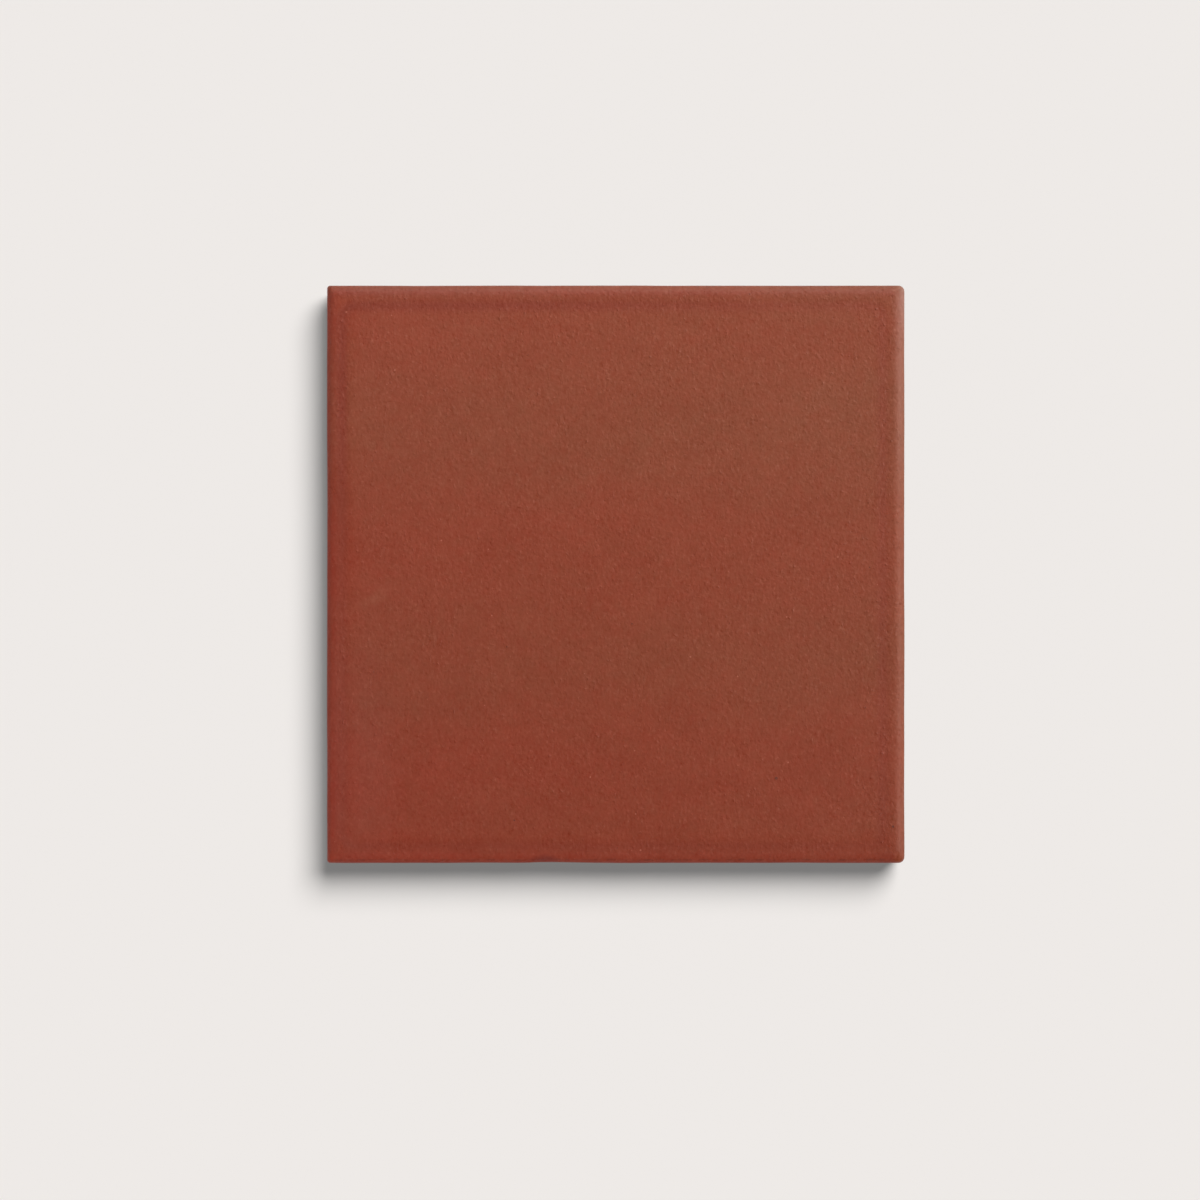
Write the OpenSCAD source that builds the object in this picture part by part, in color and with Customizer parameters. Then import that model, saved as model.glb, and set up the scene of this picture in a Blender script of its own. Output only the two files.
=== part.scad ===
// Square pressed ceramic tile with a cushioned edge and a keyed back.
//
// One pressed and fired piece, lying on its back. X runs left to right, Y from the
// front to the rear, and Z up through the face. The origin is the middle of the plane
// that the tips of the back ribs rest on. All sizes are in millimetres.

/* [Tile] */
// Width, left to right
tile_w = 100; // [80:1:200]
// Length, front to rear
tile_l = 100; // [80:1:200]
// Thickness, from the tips of the back ribs to the face
tile_t = 8; // [7:0.5:12]
// Corner radius at the two left corners, seen from above
left_corner_r = 0.5; // [0.3:0.1:1.2]
// Corner radius at the two right corners, seen from above
right_corner_r = 1; // [0.3:0.1:1.2]

/* [Rolled edge] */
// Radius that rolls the face over into the sides
edge_r = 2; // [1.3:0.1:2.2]
// Flat land between the rolled edge and the line pressed round the face
land_w = 0.1; // [0.1:0.1:2]
// Width of the line pressed round the face
line_w = 2.4; // [1.5:0.1:4]
// Depth of that line
line_d = 0.08; // [0.05:0.01:0.3]
// Corner radius at the inner side of that line
line_inner_r = 1.2; // [0.6:0.1:4]

/* [Sides] */
// Height of the upright band of the sides, below the rolled edge
upright_h = 2; // [1:0.1:2.5]
// How far the sides draw in below that band, so that the tile leaves its mould
side_draft = 0.3; // [0.1:0.1:0.8]
// Bevel where the sides meet the back, measured along the back
back_bevel = 0.6; // [0.3:0.1:1]

/* [Keyed back] */
// Number of pockets from left to right
key_cols = 8; // [4:2:12]
// Number of pockets from front to rear
key_rows = 8; // [4:2:12]
// Plain rim round the pockets, measured from the tile's side
key_rim = 6; // [4:0.5:10]
// Width of the tips of the ribs between the pockets
key_rib_w = 2.2; // [1.5:0.1:4]
// Depth of the pockets
key_d = 0.7; // [0.3:0.1:1.2]
// How far each wall of a pocket leans in from its mouth to its floor
key_lean = 0.45; // [0.1:0.05:0.6]

/* [Hidden] */

// Brick red of the fired face
fired_red = [0.55, 0.27, 0.20];

// Arcs stay smooth circles.
$fn = 96;

// How far a cut runs past the surface that it opens through
lap = 1;

// The line pressed round the face: where its middle runs, and the radius of its hollow
line_inset = edge_r + land_w + line_w / 2;
line_mid_r = line_inner_r + line_w / 2;
hollow_r = (pow(line_w / 2, 2) + pow(line_d, 2)) / (2 * line_d);
// The hollow's cutter stands this far above the face, so that it leaves no skin.
hollow_lap = 0.02;

// Pocket mouths, from what the rim and the ribs leave of each side
pocket_w = (tile_w - 2 * key_rim - (key_cols - 1) * key_rib_w) / key_cols;
pocket_l = (tile_l - 2 * key_rim - (key_rows - 1) * key_rib_w) / key_rows;

// Upright section through the tile, as wide as the side it is cut along.
// The sides lean out from the bevelled back, run upright, then roll into the face.
module edge_section(span) {
    half = span / 2;
    foot = half - side_draft;
    difference() {
        polygon([
            [-foot + back_bevel, 0],
            [foot - back_bevel, 0],
            [foot, back_bevel],
            [half, tile_t - edge_r - upright_h],
            [half, tile_t],
            [-half, tile_t],
            [-half, tile_t - edge_r - upright_h],
            [-foot, back_bevel]
        ]);
        for (side = [-1, 1])
            translate([side * (half - edge_r), tile_t - edge_r])
                rolled_off(side);
    }
}

// What the rolled edge takes off a square corner, on the side given as -1 or 1.
module rolled_off(side) {
    reach = edge_r + lap;
    difference() {
        translate([side < 0 ? -reach : 0, 0]) square(reach);
        circle(edge_r);
    }
}

// The same section carried through both ways, so that the rolled edges meet in a mitre.
module pressed_slab() {
    intersection() {
        rotate([90, 0, 0])
            linear_extrude(tile_l, center = true)
                edge_section(tile_w);
        rotate([90, 0, 90])
            linear_extrude(tile_w, center = true)
                edge_section(tile_l);
    }
}

// What is left over outside a rounded corner, once the side's own section is turned
// round the corner's centre. The corner points to +X +Y, and its centre is the origin.
module corner_waste(corner_r) {
    reach = corner_r + lap;
    difference() {
        translate([0, 0, -lap]) cube([reach, reach, tile_t + 2 * lap]);
        rotate_extrude()
            intersection() {
                translate([corner_r - tile_w / 2, 0]) edge_section(tile_w);
                square([corner_r, tile_t]);
            }
    }
}

// Turns what is drawn at the +X +Y corner into the corner on the side and end given.
module at_corner(side, end) {
    mirror([side < 0 ? 1 : 0, 0, 0])
        mirror([0, end < 0 ? 1 : 0, 0])
            children();
}

// The four corners of the plan: left ones with one radius, right ones with the other.
module rounded_corners() {
    for (side = [-1, 1], end = [-1, 1]) {
        corner_r = side < 0 ? left_corner_r : right_corner_r;
        at_corner(side, end)
            translate([tile_w / 2 - corner_r, tile_l / 2 - corner_r, 0])
                corner_waste(corner_r);
    }
}

// Section of the pressed line's cutter: the foot of a wide circle, dipped into the face.
module hollow_section() {
    intersection() {
        translate([0, tile_t - line_d + hollow_r]) circle(hollow_r);
        translate([-line_w, tile_t - lap]) square([2 * line_w, lap + hollow_lap]);
    }
}

// Straight run of the pressed line, along X through the origin.
module line_run(length) {
    rotate([90, 0, 90])
        linear_extrude(length, center = true)
            hollow_section();
}

// Quarter turn of the pressed line, from +X to +Y round the origin.
module line_turn() {
    rotate_extrude(angle = 90)
        translate([line_mid_r, 0])
            hollow_section();
}

// The shallow line that the press leaves round the face, a little in from the edge.
module pressed_line() {
    mid_x = tile_w / 2 - line_inset;
    mid_y = tile_l / 2 - line_inset;
    for (end = [-1, 1])
        translate([0, end * mid_y, 0])
            line_run(2 * (mid_x - line_mid_r));
    for (side = [-1, 1])
        translate([side * mid_x, 0, 0])
            rotate([0, 0, 90])
                line_run(2 * (mid_y - line_mid_r));
    for (side = [-1, 1], end = [-1, 1])
        at_corner(side, end)
            translate([mid_x - line_mid_r, mid_y - line_mid_r, 0])
                line_turn();
}

// Section of a pocket: wide at its mouth on the back, leaning in to its floor.
module pocket_section(mouth) {
    half = mouth / 2;
    flare = key_lean * lap / key_d;
    polygon([
        [-half - flare, -lap],
        [half + flare, -lap],
        [half - key_lean, key_d],
        [-half + key_lean, key_d]
    ]);
}

// A row of like grooves along Y, side by side across X.
module grooves(count, mouth, length) {
    pitch = mouth + key_rib_w;
    for (i = [0 : count - 1])
        translate([(i - (count - 1) / 2) * pitch, 0, 0])
            rotate([90, 0, 0])
                linear_extrude(length, center = true)
                    pocket_section(mouth);
}

// The pockets, where the grooves of one direction cross those of the other.
module back_pockets() {
    intersection() {
        grooves(key_cols, pocket_w, tile_l);
        rotate([0, 0, 90]) grooves(key_rows, pocket_l, tile_w);
    }
}

module tile() {
    color(fired_red)
        difference() {
            pressed_slab();
            rounded_corners();
            pressed_line();
            back_pockets();
        }
}

tile();
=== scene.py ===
"""Visual model of a square pressed and glazed ceramic tile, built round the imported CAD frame.

The tile lies on its keyed back, face up. X runs left to right, Y from the front to the rear
and Z up through the face. Everything is in metres.
"""

import logging
import math
import random
from collections.abc import Callable, Mapping
from dataclasses import dataclass, replace
from enum import Enum

import bmesh
import bpy
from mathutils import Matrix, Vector


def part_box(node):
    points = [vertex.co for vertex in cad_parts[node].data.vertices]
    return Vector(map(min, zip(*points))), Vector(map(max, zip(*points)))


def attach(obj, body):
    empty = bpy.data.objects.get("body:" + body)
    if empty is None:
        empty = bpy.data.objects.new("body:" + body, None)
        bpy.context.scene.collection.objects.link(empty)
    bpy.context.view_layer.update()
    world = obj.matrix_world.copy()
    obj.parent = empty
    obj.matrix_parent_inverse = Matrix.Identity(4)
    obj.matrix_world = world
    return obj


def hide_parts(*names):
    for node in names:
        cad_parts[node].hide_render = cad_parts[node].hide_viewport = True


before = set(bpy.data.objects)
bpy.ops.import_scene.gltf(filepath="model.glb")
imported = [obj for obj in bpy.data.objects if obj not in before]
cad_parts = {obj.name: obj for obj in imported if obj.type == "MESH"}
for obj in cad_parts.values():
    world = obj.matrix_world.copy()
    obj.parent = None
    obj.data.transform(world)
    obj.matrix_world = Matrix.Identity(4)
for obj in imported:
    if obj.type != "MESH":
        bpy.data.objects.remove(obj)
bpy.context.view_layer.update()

LOG = logging.getLogger("tile")
MM = 0.001
# How close two places are that count as one.
SNUG = 0.1 * MM
# Share of the strength of one layer of a pattern that the next finer one has.
LAYER_SHARE = 0.55
# Sockets of a Mix node on colours: its share and its two colours, and its result.
MIX_INPUTS = (0, 6, 7)
MIX_RESULT = 2

Colour = tuple[float, float, float]
Sizes = tuple[float, ...]
Socket = bpy.types.NodeSocket
# Tint of what makes a colour paler and leaves its hue.
PALE: Colour = (1.0, 1.0, 1.0)


def mm(*sizes: float) -> Sizes:
    """Turns sizes in millimetres into metres."""
    return tuple(size * MM for size in sizes)


# Heights between which the finish of the rolled edge sets in.
ROLLED = mm(3.5, 6.6)
LEVEL_AXES = (Vector((1.0, 0.0, 0.0)), Vector((0.0, 1.0, 0.0)))
# Least share of a face's direction, and of an edge's, that lies along the one asked for.
FACING = 0.9
STRAIGHT = 0.999
# Least angle between two faces that makes their edge sharp, in radians.
SHARP = 0.3


def outermost(point: Vector) -> float:
    """Returns how far from the middle a point lies across or along, whichever is more."""
    return max(abs(point.x), abs(point.y))


def bell(*shares: float) -> float:
    """Returns 1 at 0, and falls off smoothly with the shares of the reach on any side of it."""
    return math.exp(-sum(share * share for share in shares))


def eased(value: float, start: float, end: float) -> float:
    """Returns a smooth rise from 0 at the start to 1 at the end, which may lie below the start."""
    share = min(1.0, max(0.0, (value - start) / (end - start)))
    return share * share * (3.0 - 2.0 * share)


class Signal:
    """A number on a node socket that takes plain arithmetic, adding Math nodes as it goes."""

    def __init__(self, bench: "Bench", socket: Socket) -> None:
        """Wraps an output socket of one of the bench's nodes."""
        self.bench = bench
        self.socket = socket

    def __add__(self, other: "Signal | float") -> "Signal":
        """Returns the sum."""
        return self.bench.math("ADD", self, other)

    def __sub__(self, other: "Signal | float") -> "Signal":
        """Returns the difference."""
        return self.bench.math("SUBTRACT", self, other)

    def __rsub__(self, other: float) -> "Signal":
        """Returns the difference, with the number on the left."""
        return self.bench.math("SUBTRACT", other, self)

    def __mul__(self, other: "Signal | float") -> "Signal":
        """Returns the product."""
        return self.bench.math("MULTIPLY", self, other)

    __radd__ = __add__
    __rmul__ = __mul__

    def at_least(self, other: "Signal | float") -> "Signal":
        """Returns the larger of the two."""
        return self.bench.math("MAXIMUM", self, other)

    def rise(self, start: float, end: float) -> "Signal":
        """Rises smoothly from 0 to 1 as the number goes from one value to another.

        Args:
            start: Value at which the rise begins.
            end: Value at which it is complete, which may lie below the start.

        Returns:
            The share from 0 to 1.
        """
        ends = {"From Min": start, "From Max": end, "To Min": 0.0, "To Max": 1.0}
        if end < start:
            ends = {"From Min": end, "From Max": start, "To Min": 1.0, "To Max": 0.0}
        inputs = {"Value": self, **ends}
        made = self.bench.node("ShaderNodeMapRange", inputs, interpolation_type="SMOOTHSTEP")
        return Signal(self.bench, made.outputs["Result"])

    def hump(self, start: float, full: float, *fall: float) -> "Signal":
        """Returns the rise between two values and, where two more are given, the fall between them."""
        rise = self.rise(start, full)
        return rise * self.rise(*reversed(fall)) if fall else rise


@dataclass(frozen=True)
class Pattern:
    """A soft random pattern, which at a strength of 1 lies mostly within half a unit of 0.

    It carries finer layers by its detail, has patches that are longer along each axis by its
    stretch, where 0 leaves the axis out, and turns in degrees about the upright axis.
    """

    size: float
    detail: float = 0.0
    stretch: Sizes = (1.0, 1.0, 1.0)
    shift: float = 0.0
    strength: float = 1.0
    turn: float = 0.0


@dataclass(frozen=True)
class Mark:
    """One oval mark with a soft, ragged outline.

    Its reach is along its own axes, turned in degrees about the upright one. The rag is how far
    its outline breaks up, and the outline where it sets in and is full, in shares of the reach.
    """

    middle: Sizes
    reach: Sizes
    strength: float
    turn: float = 0.0
    shift: float = 0.0
    rag_size: float = 1.2 * MM
    rag: float = 0.7
    outline: Sizes = (1.2, 0.3)


@dataclass(frozen=True)
class Strip:
    """A strip of the tile that gives its gain, by its places across and along.

    Two places are where it sets in and is full, and two more are where it falls and ends. An
    axis without places doesn't bound it.
    """

    gain: float
    across: Sizes = ()
    along: Sizes = ()


@dataclass(frozen=True)
class Speckle:
    """Scattered round specks, one to a cell, and more of them small the greater their rarity.

    The gap is the size of a cell, and the shift moves the cells, so that two speckles differ.
    The outline is how deep in a speck it sets in and is full, in smallest radii.
    """

    colour: Colour
    share: float
    gap: float
    smallest: float
    largest: float
    shift: float
    rarity: float = 4.0
    outline: Sizes = (-0.3, 0.6)


class Bench:
    """The nodes of one material or world, added one after another."""

    def __init__(self, owner: bpy.types.Material | bpy.types.World) -> None:
        """Clears the owner's nodes.

        Args:
            owner: Material or world whose nodes are made here.
        """
        owner.use_nodes = True
        self.tree = owner.node_tree
        self.tree.nodes.clear()

    def node(
        self, kind: str, inputs: Mapping[str | int, object] | None = None, **settings: object
    ) -> bpy.types.Node:
        """Adds a node.

        Args:
            kind: Blender's type name of the node.
            inputs: A value, a socket or a signal for each named or numbered input.
            settings: The node's own settings, set before its sockets.

        Returns:
            The node.
        """
        made = self.tree.nodes.new(kind)
        for name, value in settings.items():
            setattr(made, name, value)
        for name, value in (inputs or {}).items():
            self.feed(made.inputs[name], value)
        return made

    def feed(self, socket: Socket, value: object) -> None:
        """Gives an input socket its value or link.

        Args:
            socket: The input socket.
            value: A plain value, an opaque colour, an output socket or a signal.
        """
        if isinstance(value, Signal):
            value = value.socket
        if isinstance(value, Socket):
            self.tree.links.new(value, socket)
        elif socket.type == "RGBA":
            socket.default_value = (*value, 1.0)
        else:
            socket.default_value = value

    def math(self, operation: str, *values: Signal | float) -> Signal:
        """Adds a Math node on numbers and returns its result."""
        made = self.node("ShaderNodeMath", dict(enumerate(values)), operation=operation)
        return Signal(self, made.outputs["Value"])

    def vector(self, operation: str, *values: object) -> Socket:
        """Adds a Vector Math node on vectors or colours and returns its result."""
        made = self.node("ShaderNodeVectorMath", dict(enumerate(values)), operation=operation)
        return made.outputs[0]

    def blend(self, share: Signal | float, first: object, second: object) -> Socket:
        """Mixes two colours or colour sockets, by how much of the second shows, from 0 to 1."""
        inputs = dict(zip(MIX_INPUTS, (share, first, second), strict=True))
        return self.node("ShaderNodeMix", inputs, data_type="RGBA").outputs[MIX_RESULT]

    def scaled(self, colour: object, share: Signal) -> Socket:
        """Makes a colour lighter or darker by a factor."""
        inputs = {"Vector": colour, "Scale": share}
        return self.node("ShaderNodeVectorMath", inputs, operation="SCALE").outputs[0]

    def lifted(self, colour: object, amount: Signal, tint: Colour = PALE) -> Socket:
        """Makes a colour paler or deeper by a sum, of which each channel takes its tint."""
        return self.vector("ADD", colour, self.scaled(tint, amount))

    def place(self) -> Socket:
        """Returns the point on the piece, in its own coordinates."""
        return self.node("ShaderNodeTexCoord").outputs["Object"]

    def axes(self) -> list[Signal]:
        """Returns the point's coordinates: across, along and up."""
        parts = self.node("ShaderNodeSeparateXYZ", {0: self.place()})
        return [Signal(self, part) for part in parts.outputs]

    def turned(self, point: object, turn: float) -> Socket:
        """Turns a point about the upright axis, so that its pattern turns by an angle in degrees."""
        inputs = {"Vector": point, "Angle": math.radians(-turn)}
        return self.node("ShaderNodeVectorRotate", inputs, rotation_type="Z_AXIS").outputs[0]

    def noise(self, pattern: Pattern) -> Signal:
        """Adds a soft random pattern.

        Args:
            pattern: Its sizes.

        Returns:
            The pattern, about 0.
        """
        scale = tuple(1.0 / size if size else 0.0 for size in pattern.stretch)
        inputs = {
            "Vector": self.vector("MULTIPLY", self.turned(self.place(), pattern.turn), scale),
            "W": pattern.shift,
            "Scale": 1.0 / pattern.size,
            "Detail": pattern.detail,
            "Roughness": LAYER_SHARE,
        }
        made = self.node("ShaderNodeTexNoise", inputs, noise_dimensions="4D")
        return (Signal(self, made.outputs[0]) - 0.5) * pattern.strength

    def specks(self, speckle: Speckle) -> Signal:
        """Adds scattered specks.

        Args:
            speckle: Their sizes.

        Returns:
            1 in a speck and 0 elsewhere.
        """
        flat = self.vector("MULTIPLY", self.place(), (1.0, 1.0, 0.0))
        moved = self.vector("ADD", flat, (speckle.shift, 0.0, 0.0))
        inputs = {"Vector": moved, "Scale": 1.0 / speckle.gap, "Randomness": 1.0}
        cells = self.node("ShaderNodeTexVoronoi", inputs, voronoi_dimensions="2D")
        parts = self.node("ShaderNodeSeparateColor", {0: cells.outputs["Color"]})
        chance = self.math("POWER", Signal(self, parts.outputs[0]), speckle.rarity)
        radius = chance * (speckle.largest - speckle.smallest) + speckle.smallest
        distance = Signal(self, cells.outputs["Distance"]) * speckle.gap
        return (radius - distance).rise(*(share * speckle.smallest for share in speckle.outline))

    def spot(self, mark: Mark) -> Signal:
        """Adds one oval mark.

        Args:
            mark: Its place and sizes.

        Returns:
            Its strength in the middle of it and 0 outside it.
        """
        moved = self.turned(self.vector("SUBTRACT", self.place(), mark.middle), mark.turn)
        shares = self.vector("DIVIDE", moved, mark.reach)
        length = self.node("ShaderNodeVectorMath", {0: shares}, operation="LENGTH")
        ragged = self.noise(Pattern(mark.rag_size, 2.0, shift=mark.shift, strength=mark.rag))
        spread = Signal(self, length.outputs["Value"]) + ragged
        return spread.rise(*mark.outline) * mark.strength

    def strip(self, strip: Strip) -> Signal:
        """Adds a strip of the tile.

        Args:
            strip: Its places and its gain.

        Returns:
            The gain within the strip and 0 outside it.
        """
        share: Signal | float = strip.gain
        for axis, places in zip(self.axes(), (strip.across, strip.along)):
            if places:
                share = share * axis.hump(*places)
        return share

    def attribute(self, name: str) -> Signal:
        """Reads a number that the mesh carries at its points."""
        made = self.node("ShaderNodeAttribute", attribute_name=name)
        return Signal(self, made.outputs["Fac"])


class Pick(Enum):
    """What part of a mesh is picked for the next step."""

    POINTS = "VERT"
    EDGES = "EDGE"
    FACES = "FACE"


class Shaper:
    """A pair of hands on one mesh: picks parts of it by their place and works on them."""

    def __init__(self, piece: bpy.types.Object) -> None:
        """Takes hold of a mesh.

        Args:
            piece: The object, which becomes the only selected one.
        """
        self.piece = piece
        bpy.ops.object.select_all(action="DESELECT")
        piece.select_set(True)
        bpy.context.view_layer.objects.active = piece

    def open(self) -> None:
        """Goes into edit mode."""
        bpy.ops.object.mode_set(mode="EDIT")

    def close(self) -> None:
        """Comes back from edit mode."""
        bpy.ops.object.mode_set(mode="OBJECT")

    def pick(self, kind: Pick, wanted: Callable[..., bool]) -> int:
        """Selects the points, edges or faces that pass a test, and nothing else.

        Args:
            kind: What is picked.
            wanted: Test of one point, edge or face.

        Returns:
            How many passed.
        """
        bpy.ops.mesh.select_mode(type=kind.value)
        bpy.ops.mesh.select_all(action="DESELECT")
        shape = bmesh.from_edit_mesh(self.piece.data)
        parts = {Pick.POINTS: shape.verts, Pick.EDGES: shape.edges, Pick.FACES: shape.faces}[kind]
        chosen = [part for part in parts if wanted(part)]
        for part in chosen:
            part.select_set(True)
        shape.select_flush_mode()
        bmesh.update_edit_mesh(self.piece.data)
        return len(chosen)

    def divide(self, wanted: Callable[..., bool], cuts: int) -> None:
        """Cuts picked edges into equal lengths, and the faces between opposite ones with them."""
        self.pick(Pick.EDGES, wanted)
        bpy.ops.mesh.subdivide(number_cuts=cuts)

    def slice(self, place: Vector, facing: Vector) -> None:
        """Cuts what is selected with a plane through a place that faces a direction."""
        bpy.ops.mesh.bisect(plane_co=place, plane_no=facing)

    def apply(self, kind: str, **settings: object) -> None:
        """Adds a modifier and applies it.

        Args:
            kind: Blender's type name of the modifier.
            settings: The modifier's settings.
        """
        made = self.piece.modifiers.new(kind.lower(), kind)
        for name, value in settings.items():
            setattr(made, name, value)
        bpy.ops.object.modifier_apply(modifier=made.name)

    def group(self, name: str, weight: Callable[[Vector], float]) -> str:
        """Gives the points of the mesh a weight by their place.

        Args:
            name: Name of the group of points.
            weight: Weight of a point, from 0 to 1.

        Returns:
            The group's name.
        """
        made = self.piece.vertex_groups.new(name=name)
        for point in self.piece.data.vertices:
            share = weight(point.co)
            if share > 0.0:
                made.add([point.index], share, "REPLACE")
        return made.name

    def shift(self, group: str, distance: float, direction: str = "NORMAL") -> None:
        """Moves a group's points by a distance times their weights, in a direction given by name."""
        self.apply("DISPLACE", vertex_group=group, strength=distance, mid_level=0.0, direction=direction)

    def swell(self, group: str, height: float, size: float, depth: int = 0) -> None:
        """Raises and lowers a group's points by a soft random pattern.

        Args:
            group: Name of the group.
            height: Distance between the pattern's extremes, in metres.
            size: Size of its swells, in metres.
            depth: How many finer layers it carries.
        """
        pattern = bpy.data.textures.new(f"{group}_pattern", "CLOUDS")
        pattern.noise_scale = size
        pattern.noise_depth = depth
        settings = {"strength": height, "mid_level": 0.5, "texture_coords": "LOCAL"}
        self.apply("DISPLACE", vertex_group=group, texture=pattern, **settings)
        bpy.data.textures.remove(pattern)


@dataclass(frozen=True)
class GlazeEdge:
    """The uneven lower edge of the glaze, where it ran down the sides and stopped.

    Its waves are counted round the tile, and the finer ones are lower, unless it is very even.
    Short runs hang from it, whose sizes are shares of the longest one.
    """

    height: float = 3.3 * MM
    unevenness: float = 0.42 * MM
    waves: tuple[int, ...] = (3, 8, 17, 31, 58)
    evenness: float = 1.4
    runs: int = 9
    run_length: float = 1.1 * MM
    run_width: float = 0.007
    run_sizes: Sizes = (0.35, 1.0)
    seed: int = 11

    def round_share(self, x: float, y: float) -> float:
        """Measures how far round the outline a point lies, with a quarter to a side.

        Args:
            x: Its place across.
            y: Its place along.

        Returns:
            The share, from 0 to 1.
        """
        if abs(x) > abs(y):
            return ((1.0 + y / x) / 2.0 + (0.0 if x > 0.0 else 2.0)) / 4.0
        return ((1.0 - x / y) / 2.0 + (1.0 if y > 0.0 else 3.0)) / 4.0

    def rule(self) -> Callable[[Vector], float]:
        """Makes the measure of how far a point is above the glaze's lower edge.

        Returns:
            A function from a point on the tile to that height in metres, negative below.
        """
        draw = random.Random(self.seed)
        waves = [(count, draw.uniform(0.0, math.tau)) for count in self.waves]
        places = [(draw.random(), draw.uniform(*self.run_sizes)) for _ in range(self.runs)]

        def above(point: Vector) -> float:
            """Measures the height over the edge.

            Args:
                point: The point.

            Returns:
                The height, in metres.
            """
            share = self.round_share(point.x, point.y)
            wave = sum(
                math.sin(math.tau * count * share + start) / (order + self.evenness)
                for order, (count, start) in enumerate(waves)
            )
            low = 0.0
            for place, size in places:
                apart = abs(share - place)
                low += size * bell(min(apart, 1.0 - apart) / self.run_width)
            return point.z - self.height - self.unevenness * wave + self.run_length * low

        return above


@dataclass(frozen=True)
class PaintedRimShade:
    """The rolled edge, with painted shade that makes the left and the front rims deeper red, and a
    broken dark line along the front.

    Painted light lightens strips at the front and the left, and painted shade darkens the rear. A
    slope of painted shade darkens it by so much for each metre to the rear or to the right.
    """

    # Painted shade: the outermost left and front rims deeper red
    rim_shade_colour: Colour = (0.243, 0.0240, 0.0060)
    rim_shade_share: float = 0.60
    rim_shade_place: Sizes = mm(49.0, 49.9)
    # Painted light: paler strips on the front and left rims
    front_painted_light: Strip = Strip(0.09, along=mm(-47.7, -48.7, -49.2, -49.8))
    left_painted_light: Strip = Strip(0.055, across=mm(-47.9, -48.6, -49.0, -49.5))
    # Painted shade growing to the rear on the left rim and to the right on the front rim, and painted
    # shade at the rear
    left_shade_slope: Strip = Strip(-2.2, across=mm(-48.2, -49.2))
    front_shade_slope: Strip = Strip(-0.8, along=mm(-47.6, -49.0))
    rear_shade: Strip = Strip(-0.070, mm(-10.0, -42.0), mm(47.2, 48.4))
    line_place: float = -49.37 * MM
    line_section: Sizes = mm(-0.25, 0.0, 0.0, 0.30)
    line_loss: float = 0.30
    wander: Pattern = Pattern(6.0 * MM, 2.0, (1.0, 0.0, 0.0), 37.0, 0.8 * MM)
    breaks: Pattern = Pattern(1.0 * MM, 2.0, (1.6, 0.0, 0.0), 38.0)
    break_ends: Sizes = (-0.10, 0.12)

    def laid(self, bench: Bench, colour: Socket) -> Socket:
        """Paints the shade and the light on the edge, and draws the broken line.

        Args:
            bench: Bench of the tile's material.
            colour: The glaze's colour so far.

        Returns:
            The colour's socket.
        """
        across, along, up = bench.axes()
        level = up.rise(*ROLLED)
        # Painted shade: the outermost left and front rims deeper red
        rim = (across * -1.0).at_least(along * -1.0).rise(*self.rim_shade_place)
        burnt_clay_and_shaded_rim = bench.blend(rim * level * self.rim_shade_share, colour, self.rim_shade_colour)
        # Painted light and shade on the rims, less the broken dark line
        painted_lights = bench.strip(self.front_painted_light) + bench.strip(self.left_painted_light)
        shade_slopes = bench.strip(self.left_shade_slope) * along + bench.strip(self.front_shade_slope) * across
        offset = along + bench.noise(self.wander) - self.line_place
        broken = offset.hump(*self.line_section) * bench.noise(self.breaks).rise(*self.break_ends)
        painted_light_and_line = painted_lights + shade_slopes + bench.strip(self.rear_shade) - broken * self.line_loss
        return bench.scaled(burnt_clay_and_shaded_rim, 1.0 + painted_light_and_line * level)


@dataclass(frozen=True)
class PaintedEdgeHighlight:
    """The rolled edge, with a painted highlight along the right and the rear, and painted shade at
    the front right corner.

    Its highlight casts are strips and the colour that each of them adds at full gain.
    """

    highlight_casts: tuple[tuple[Strip, Colour], ...] = (
        # Painted highlight along the right side, strongest at its rear end
        (Strip(0.005, mm(47.3, 49.5)), PALE),
        (Strip(0.026, mm(47.3, 49.5), mm(0.0, 50.0)), PALE),
        (Strip(0.050, mm(48.6, 49.9), mm(39.0, 48.0)), PALE),
        # Ochre tint of the painted highlight along the right side and the rear
        (Strip(0.009, mm(47.3, 49.5)), (0.0, 0.25, -1.0)),
        (Strip(0.004, along=mm(48.5, 49.4)), (-1.2, 1.0, 0.0)),
        # Warm painted highlight along the outermost right and rear rims
        (Strip(0.016, mm(49.2, 49.9)), (1.6, 1.0, 0.5)),
        (Strip(0.016, along=mm(49.3, 49.95)), (1.6, 1.0, 0.5)),
    )
    # Painted shade at the front right corner
    front_shade: Mark = Mark(mm(49.5, -49.5, 7.0), mm(6.0, 5.0, 9.0), 0.12)

    def laid(self, bench: Bench, colour: Socket) -> Socket:
        """Paints the highlight and the shade on the edge.

        Args:
            bench: Bench of the tile's material.
            colour: The glaze's colour so far.

        Returns:
            The colour's socket.
        """
        level = bench.axes()[2].rise(*ROLLED)
        for strip, tint in self.highlight_casts:
            colour = bench.lifted(colour, bench.strip(strip) * level, tint)
        return bench.scaled(colour, 1.0 - bench.spot(self.front_shade))


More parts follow.
